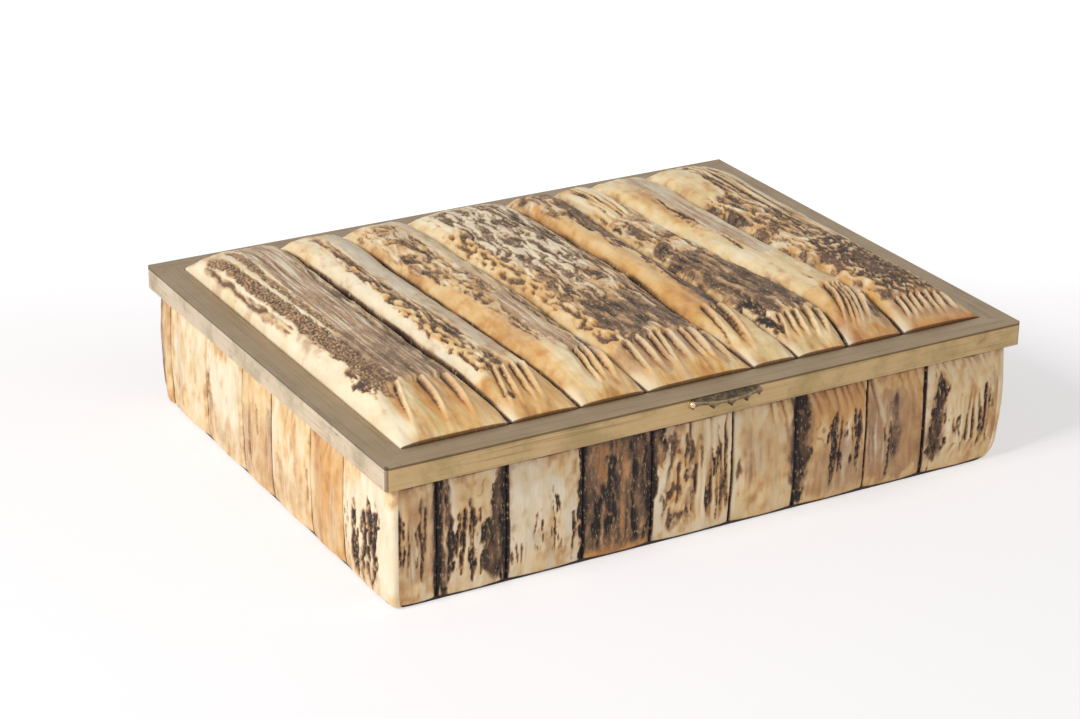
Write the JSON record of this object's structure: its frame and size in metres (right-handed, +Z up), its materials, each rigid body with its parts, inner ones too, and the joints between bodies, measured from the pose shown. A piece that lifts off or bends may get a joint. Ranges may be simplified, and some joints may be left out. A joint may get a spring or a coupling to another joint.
{
  "type": "keepsake box",
  "caption": "Low rectangular keepsake box clad in sawn antler slabs, with a brass-edged domed lid hinged along the back and a scalloped thumb piece in front.",
  "frame": {"origin": "centre of the underside, on the surface that the box stands on", "axes": "+X to the right along the front, +Y to the hinged back, +Z up"},
  "size_m": [0.24, 0.193, 0.059],
  "materials": {
    "antler": "satin",
    "frame_brass": "satin",
    "hinge_brass": "satin",
    "cedar": "satin",
    "lining": "satin",
    "baize": "matte"
  },
  "bodies": {
    "box": {"base_board": "cedar", "base_baize": "baize", "floor_lining": "lining", "wall_front": "cedar", "wall_back": "cedar", "wall_left": "cedar", "wall_right": "cedar", "front_slab_1": "antler", "front_slab_2": "antler", "front_slab_3": "antler", "front_slab_4": "antler", "front_slab_5": "antler", "front_slab_6": "antler", "front_slab_7": "antler", "front_slab_8": "antler", "front_slab_9": "antler", "back_slab_1": "antler", "back_slab_2": "antler", "back_slab_3": "antler", "back_slab_4": "antler", "back_slab_5": "antler", "back_slab_6": "antler", "back_slab_7": "antler", "back_slab_8": "antler", "back_slab_9": "antler", "left_slab_1": "antler", "left_slab_2": "antler", "left_slab_3": "antler", "left_slab_4": "antler", "left_slab_5": "antler", "left_slab_6": "antler", "left_slab_7": "antler", "right_slab_1": "antler", "right_slab_2": "antler", "right_slab_3": "antler", "right_slab_4": "antler", "right_slab_5": "antler", "right_slab_6": "antler", "right_slab_7": "antler", "hinge_body_leaf": "hinge_brass", "hinge_pin": "hinge_brass", "body_hinge_screws": "hinge_brass"},
    "lid": {"lid_board": "cedar", "lid_lining": "lining", "lid_rail_front": "frame_brass", "lid_rail_back": "frame_brass", "lid_rail_left": "frame_brass", "lid_rail_right": "frame_brass", "lid_slab_1": "antler", "lid_slab_2": "antler", "lid_slab_3": "antler", "lid_slab_4": "antler", "lid_slab_5": "antler", "lid_slab_6": "antler", "lid_slab_7": "antler", "lid_slab_8": "antler", "thumb_piece": "frame_brass", "hinge_lid_leaf": "hinge_brass", "lid_hinge_screws": "hinge_brass"}
  },
  "joints": [
    {"name": "lid_hinge", "type": "hinge", "parent": "box", "child": "lid", "pos_m": [0, 0.09265, 0.0457], "axis": [-1, 0, 0], "range_deg": [0, 100]}
  ]
}
